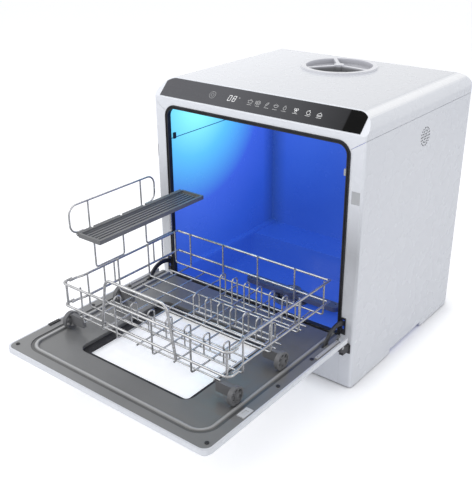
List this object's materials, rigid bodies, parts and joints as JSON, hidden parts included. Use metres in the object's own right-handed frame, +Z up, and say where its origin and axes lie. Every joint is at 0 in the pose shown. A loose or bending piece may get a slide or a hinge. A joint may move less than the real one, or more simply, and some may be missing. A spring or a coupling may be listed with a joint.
{
  "type": "countertop dishwasher",
  "caption": "Box-shaped white countertop dishwasher with a drop-down windowed door, a wheeled wire basket with a fold-up cup rack, a top fill cap and a touch panel.",
  "frame": {"origin": "on the counter, midway across the width and midway between the open door's free edge and the rear hose fittings", "axes": "+X to the machine's right as seen from the front, +Y towards its back, +Z up"},
  "size_m": [0.42, 0.757, 0.468],
  "materials": {
    "white_enamel": "gloss",
    "white_plastic": "gloss",
    "panel_glass": "gloss",
    "liner_plastic": "satin",
    "grey_plastic": "satin",
    "light_plastic": "satin",
    "black_plastic": "satin",
    "seal_rubber": "matte",
    "tub_plastic": "gloss",
    "lamp_lens": "gloss",
    "wire": "satin",
    "steel": "satin",
    "glass": "gloss",
    "board": "satin",
    "clear_tank": "gloss"
  },
  "bodies": {
    "cabinet": {"top_cover": "white_enamel", "side_panel_left": "white_enamel", "side_panel_right": "white_enamel", "kick_panel": "white_enamel", "back_panel": "white_enamel", "base_pan": "light_plastic", "feet": "seal_rubber", "control_panel": "panel_glass", "display_board": "board", "fill_funnel": "light_plastic", "water_tank": "clear_tank", "tub_shell": "tub_plastic", "tub_floor": "tub_plastic", "basket_rails": "tub_plastic", "door_gasket": "seal_rubber", "filter_cup": "grey_plastic", "filter_mesh": "steel", "spray_hub": "light_plastic", "wash_pump": "black_plastic", "drain_pump": "black_plastic", "heater": "steel", "main_board": "board", "fan_housing": "black_plastic", "tub_lamp": "lamp_lens", "hose_fittings": "grey_plastic", "power_inlet": "black_plastic", "hinge_brackets": "black_plastic", "hinge_pins": "steel", "stay_bezels": "black_plastic", "latch_catch": "steel", "door_switch": "black_plastic", "hinge_springs": "steel"},
    "door": {"door_shell": "white_plastic", "door_liner": "liner_plastic", "liner_rim": "liner_plastic", "door_window": "glass", "window_trim": "seal_rubber", "hinge_ears": "black_plastic", "door_stays": "black_plastic", "hinge_straps": "steel", "door_strike": "light_plastic", "switch_tab": "black_plastic", "door_screws": "steel"},
    "basket": {"basket_floor": "wire", "basket_front": "wire", "basket_back": "wire", "basket_left": "wire", "basket_right": "wire", "basket_handle": "wire", "plate_tines": "wire", "wheel_carriers": "grey_plastic", "rack_frame": "wire"},
    "cup_rack": {"cup_rack": "grey_plastic"},
    "spray_arm": {"lower_spray_arm": "light_plastic"},
    "fan": {"fan_rotor": "black_plastic"},
    "cap": {"fill_cap": "white_plastic"},
    "wheel_front_left_body": {"wheel_front_left": "grey_plastic"},
    "wheel_front_right_body": {"wheel_front_right": "grey_plastic"},
    "wheel_rear_left_body": {"wheel_rear_left": "grey_plastic"},
    "wheel_rear_right_body": {"wheel_rear_right": "grey_plastic"}
  },
  "joints": [
    {"name": "door_hinge", "type": "hinge", "parent": "cabinet", "child": "door", "pos_m": [0, -0.0345, 0.088], "axis": [-1, 0, 0], "range_deg": [0, 90]},
    {"name": "basket_slide", "type": "slide", "parent": "door", "child": "basket", "axis": [0, -1, 0], "range_m": [-0.285, 0]},
    {"name": "cup_rack_fold", "type": "hinge", "parent": "basket", "child": "cup_rack", "pos_m": [-0.16635, 0.1735, 0.2625], "axis": [0, -1, 0], "range_deg": [0, 85]},
    {"name": "spray_arm_spin", "type": "hinge", "parent": "cabinet", "child": "spray_arm", "pos_m": [0, 0.1185, 0.058], "axis": [0, 0, 1], "continuous": true},
    {"name": "fan_spin", "type": "hinge", "parent": "cabinet", "child": "fan", "pos_m": [0.198, 0.1825, 0.388], "axis": [1, 0, 0], "continuous": true},
    {"name": "fill_cap_lift", "type": "slide", "parent": "cabinet", "child": "cap", "axis": [0, 0, 1], "range_m": [0, 0.03]},
    {"name": "wheel_front_left_spin", "type": "hinge", "parent": "basket", "child": "wheel_front_left_body", "pos_m": [-0.1715, -0.2725, 0.118], "axis": [1, 0, 0], "range_deg": [-1150, 1]},
    {"name": "wheel_front_right_spin", "type": "hinge", "parent": "basket", "child": "wheel_front_right_body", "pos_m": [0.1715, -0.2725, 0.118], "axis": [1, 0, 0], "range_deg": [-1150, 1]},
    {"name": "wheel_rear_left_spin", "type": "hinge", "parent": "basket", "child": "wheel_rear_left_body", "pos_m": [-0.1715, -0.1615, 0.118], "axis": [1, 0, 0], "range_deg": [-1150, 1]},
    {"name": "wheel_rear_right_spin", "type": "hinge", "parent": "basket", "child": "wheel_rear_right_body", "pos_m": [0.1715, -0.1615, 0.118], "axis": [1, 0, 0], "range_deg": [-1150, 1]}
  ],
  "couplings": [
    {"joint": "wheel_front_left_spin", "follows": "basket_slide", "rad_per_m": 67.568},
    {"joint": "wheel_front_right_spin", "follows": "basket_slide", "rad_per_m": 67.568},
    {"joint": "wheel_rear_left_spin", "follows": "basket_slide", "rad_per_m": 67.568},
    {"joint": "wheel_rear_right_spin", "follows": "basket_slide", "rad_per_m": 67.568}
  ]
}
